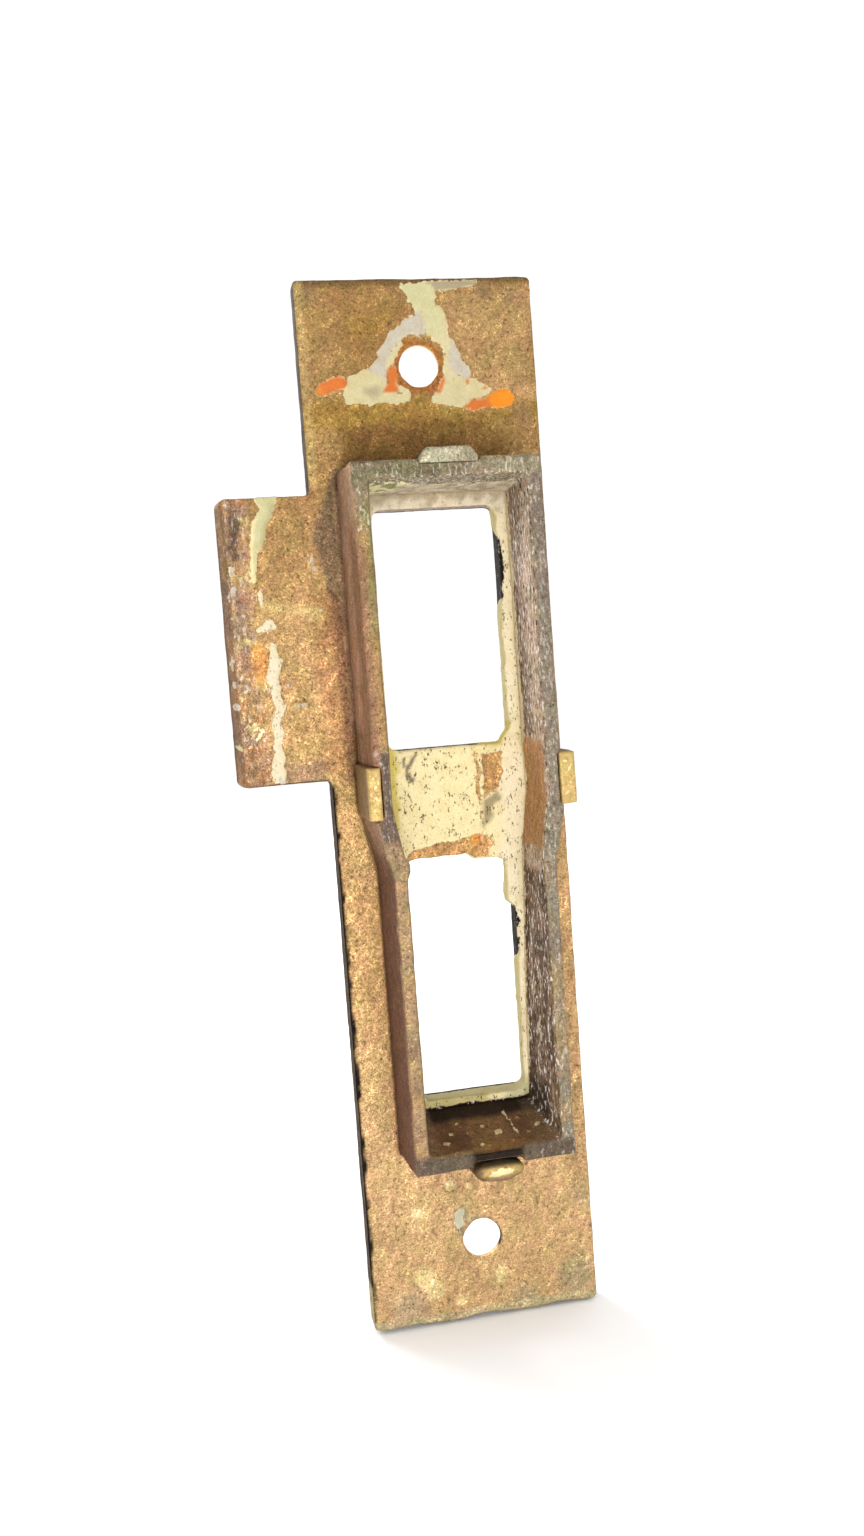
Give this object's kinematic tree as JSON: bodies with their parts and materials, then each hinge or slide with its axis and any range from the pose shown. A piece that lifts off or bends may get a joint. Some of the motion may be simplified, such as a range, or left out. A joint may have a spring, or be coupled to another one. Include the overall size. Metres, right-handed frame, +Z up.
{
  "type": "boxed mortise lock strike",
  "caption": "Old brass strike plate for a mortise lock, seen from the back: side lip, latch and bolt openings, countersunk screw holes and an open cast box held on by clinched lugs.",
  "frame": {"origin": "midway between the two screw holes, in the plane of the plate's back face", "axes": "+Z up along the plate with the latch opening above the bolt opening, X across the plate with the lip towards -X, -Y out of the back where the box stands, +Y out of the front"},
  "size_m": [0.0397, 0.0125, 0.127],
  "materials": {
    "plate_brass": "rough sand-cast brass, golden-brown patina, worn edges, remains of cream paint",
    "frame_casting": "rough cast brass, grey to brown patina, rubbed rim, cream paint inside",
    "lug_brass": "hammered brass, worn bright on top",
    "lug_painted": "brass under old grey-green paint"
  },
  "bodies": {
    "root": {"strike_plate": "plate_brass", "box_frame": "frame_casting", "left_clinch_lug": "lug_brass", "right_clinch_lug": "lug_brass", "top_clinch_lug": "lug_painted", "bottom_clinch_lug": "lug_brass"}
  },
  "joints": []
}
